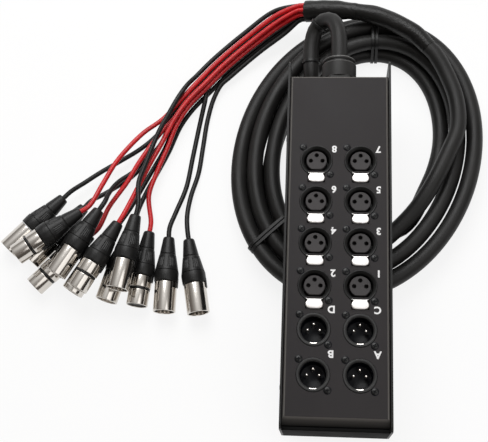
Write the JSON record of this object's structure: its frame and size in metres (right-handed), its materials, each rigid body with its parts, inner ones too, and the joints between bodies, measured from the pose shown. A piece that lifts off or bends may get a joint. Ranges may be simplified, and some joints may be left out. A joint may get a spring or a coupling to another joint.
{
  "type": "stage box snake",
  "caption": "Low steel stage box with send and return sockets, lying on its coiled multicore trunk, which fans out into black and red tails with cable plugs.",
  "frame": {"origin": "centre of the steel box with its gland, without the cords", "axes": "+Z out of the socket face, +Y along the box towards the gland, +X to the right as the socket face is seen with the gland at the top"},
  "size_m": [0.4131, 0.3827, 0.0836],
  "materials": {
    "case_paint": "satin black powder coat",
    "deck_paint": "satin charcoal powder coat",
    "moulding": "satin black moulding",
    "tab_metal": "bright nickel",
    "plug_nickel": "bright nickel",
    "cord_black": "soft sheen",
    "cord_red": "soft sheen",
    "plug_boot": "satin",
    "shrink_sleeve": "satin heat-shrink"
  },
  "bodies": {
    "stage_box": {"chassis_tray": "case_paint", "face_plate": "deck_paint", "gland_body": "moulding", "gland_nut": "moulding", "send_socket_1": "moulding", "send_socket_2": "moulding", "send_socket_3": "moulding", "send_socket_4": "moulding", "send_socket_5": "moulding", "send_socket_6": "moulding", "send_socket_7": "moulding", "send_socket_8": "moulding", "return_socket_a": "moulding", "return_socket_b": "moulding", "return_socket_c": "moulding", "return_socket_d": "moulding", "trunk_lead": "cord_black", "trunk_coil": "cord_black", "trunk_run_out": "cord_black", "fanout_sleeve": "shrink_sleeve", "send_1_tail": "cord_black", "send_1_shell": "plug_nickel", "send_2_tail": "cord_black", "send_2_shell": "plug_nickel", "send_3_tail": "cord_black", "send_3_shell": "plug_nickel", "send_4_tail": "cord_black", "send_4_shell": "plug_nickel", "send_5_tail": "cord_black", "send_5_shell": "plug_nickel", "send_6_tail": "cord_black", "send_6_shell": "plug_nickel", "send_7_tail": "cord_black", "send_7_shell": "plug_nickel", "send_8_tail": "cord_black", "send_8_shell": "plug_nickel", "return_a_tail": "cord_red", "return_a_boot": "plug_boot", "return_a_shell": "plug_nickel", "return_b_tail": "cord_red", "return_b_boot": "plug_boot", "return_b_shell": "plug_nickel", "return_c_tail": "cord_red", "return_c_boot": "plug_boot", "return_c_shell": "plug_nickel", "return_d_tail": "cord_red", "return_d_boot": "plug_boot", "return_d_shell": "plug_nickel"},
    "push_tab_1": {"push_tab_1": "tab_metal"},
    "push_tab_2": {"push_tab_2": "tab_metal"},
    "push_tab_3": {"push_tab_3": "tab_metal"},
    "push_tab_4": {"push_tab_4": "tab_metal"},
    "push_tab_5": {"push_tab_5": "tab_metal"},
    "push_tab_6": {"push_tab_6": "tab_metal"},
    "push_tab_7": {"push_tab_7": "tab_metal"},
    "push_tab_8": {"push_tab_8": "tab_metal"},
    "return_a_latch": {"return_a_latch": "tab_metal"},
    "return_b_latch": {"return_b_latch": "tab_metal"},
    "return_c_latch": {"return_c_latch": "tab_metal"},
    "return_d_latch": {"return_d_latch": "tab_metal"}
  },
  "joints": [
    {"name": "push_tab_1_press", "type": "slide", "parent": "stage_box", "child": "push_tab_1", "axis": [0, 0, -1], "range_m": [0, 0.0012], "stiffness_N_per_m": 3000, "springref_m": -0.0004},
    {"name": "push_tab_2_press", "type": "slide", "parent": "stage_box", "child": "push_tab_2", "axis": [0, 0, -1], "range_m": [0, 0.0012], "stiffness_N_per_m": 3000, "springref_m": -0.0004},
    {"name": "push_tab_3_press", "type": "slide", "parent": "stage_box", "child": "push_tab_3", "axis": [0, 0, -1], "range_m": [0, 0.0012], "stiffness_N_per_m": 3000, "springref_m": -0.0004},
    {"name": "push_tab_4_press", "type": "slide", "parent": "stage_box", "child": "push_tab_4", "axis": [0, 0, -1], "range_m": [0, 0.0012], "stiffness_N_per_m": 3000, "springref_m": -0.0004},
    {"name": "push_tab_5_press", "type": "slide", "parent": "stage_box", "child": "push_tab_5", "axis": [0, 0, -1], "range_m": [0, 0.0012], "stiffness_N_per_m": 3000, "springref_m": -0.0004},
    {"name": "push_tab_6_press", "type": "slide", "parent": "stage_box", "child": "push_tab_6", "axis": [0, 0, -1], "range_m": [0, 0.0012], "stiffness_N_per_m": 3000, "springref_m": -0.0004},
    {"name": "push_tab_7_press", "type": "slide", "parent": "stage_box", "child": "push_tab_7", "axis": [0, 0, -1], "range_m": [0, 0.0012], "stiffness_N_per_m": 3000, "springref_m": -0.0004},
    {"name": "push_tab_8_press", "type": "slide", "parent": "stage_box", "child": "push_tab_8", "axis": [0, 0, -1], "range_m": [0, 0.0012], "stiffness_N_per_m": 3000, "springref_m": -0.0004},
    {"name": "return_a_latch_press", "type": "slide", "parent": "stage_box", "child": "return_a_latch", "axis": [0.1946, -0.2582, 0.9463], "range_m": [0, 0.001], "stiffness_N_per_m": 3000, "springref_m": -0.0004},
    {"name": "return_b_latch_press", "type": "slide", "parent": "stage_box", "child": "return_b_latch", "axis": [0.2326, -0.2246, 0.9463], "range_m": [0, 0.001], "stiffness_N_per_m": 3000, "springref_m": -0.0004},
    {"name": "return_c_latch_press", "type": "slide", "parent": "stage_box", "child": "return_c_latch", "axis": [0.2854, -0.1518, 0.9463], "range_m": [0, 0.001], "stiffness_N_per_m": 3000, "springref_m": -0.0004},
    {"name": "return_d_latch_press", "type": "slide", "parent": "stage_box", "child": "return_d_latch", "axis": [0.3217, -0.0315, 0.9463], "range_m": [0, 0.001], "stiffness_N_per_m": 3000, "springref_m": -0.0004}
  ]
}
